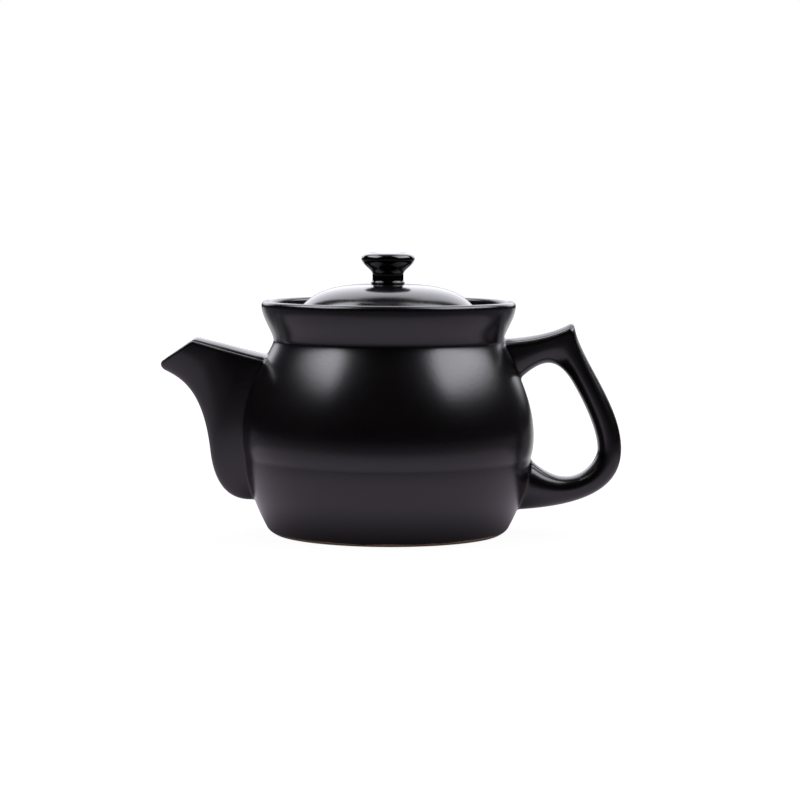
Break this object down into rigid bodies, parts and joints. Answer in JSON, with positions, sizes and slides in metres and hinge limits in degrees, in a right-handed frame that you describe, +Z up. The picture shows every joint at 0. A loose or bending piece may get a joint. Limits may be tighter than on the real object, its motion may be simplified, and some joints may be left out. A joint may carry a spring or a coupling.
{
  "type": "herbal decoction pot",
  "caption": "Round-bellied stoneware decoction pot with a flared collar, beak spout, loop handle with a thumb ear, and a loose domed lid with a knob.",
  "frame": {"origin": "on the table under the pot, on the axis of the round shell, 1 mm from the middle of the whole part's box", "axes": "+Z up along the body's axis, +X towards the handle, -X towards the spout"},
  "size_m": [0.2911, 0.184, 0.1768],
  "materials": {
    "satin_glaze": "satin black glaze, bare tan clay on the foot ring",
    "lid_glaze": "satin black glaze",
    "gloss_glaze": "glossy black glaze"
  },
  "bodies": {
    "pot": {"foot_bowl": "satin_glaze", "belly": "satin_glaze", "collar": "satin_glaze", "spout": "satin_glaze", "handle": "satin_glaze"},
    "cover": {"lid": "lid_glaze", "lid_knob": "gloss_glaze"}
  },
  "joints": [
    {"name": "lid_lift", "type": "slide", "parent": "pot", "child": "cover", "axis": [0, 0, 1], "range_m": [0, 0.12]}
  ]
}
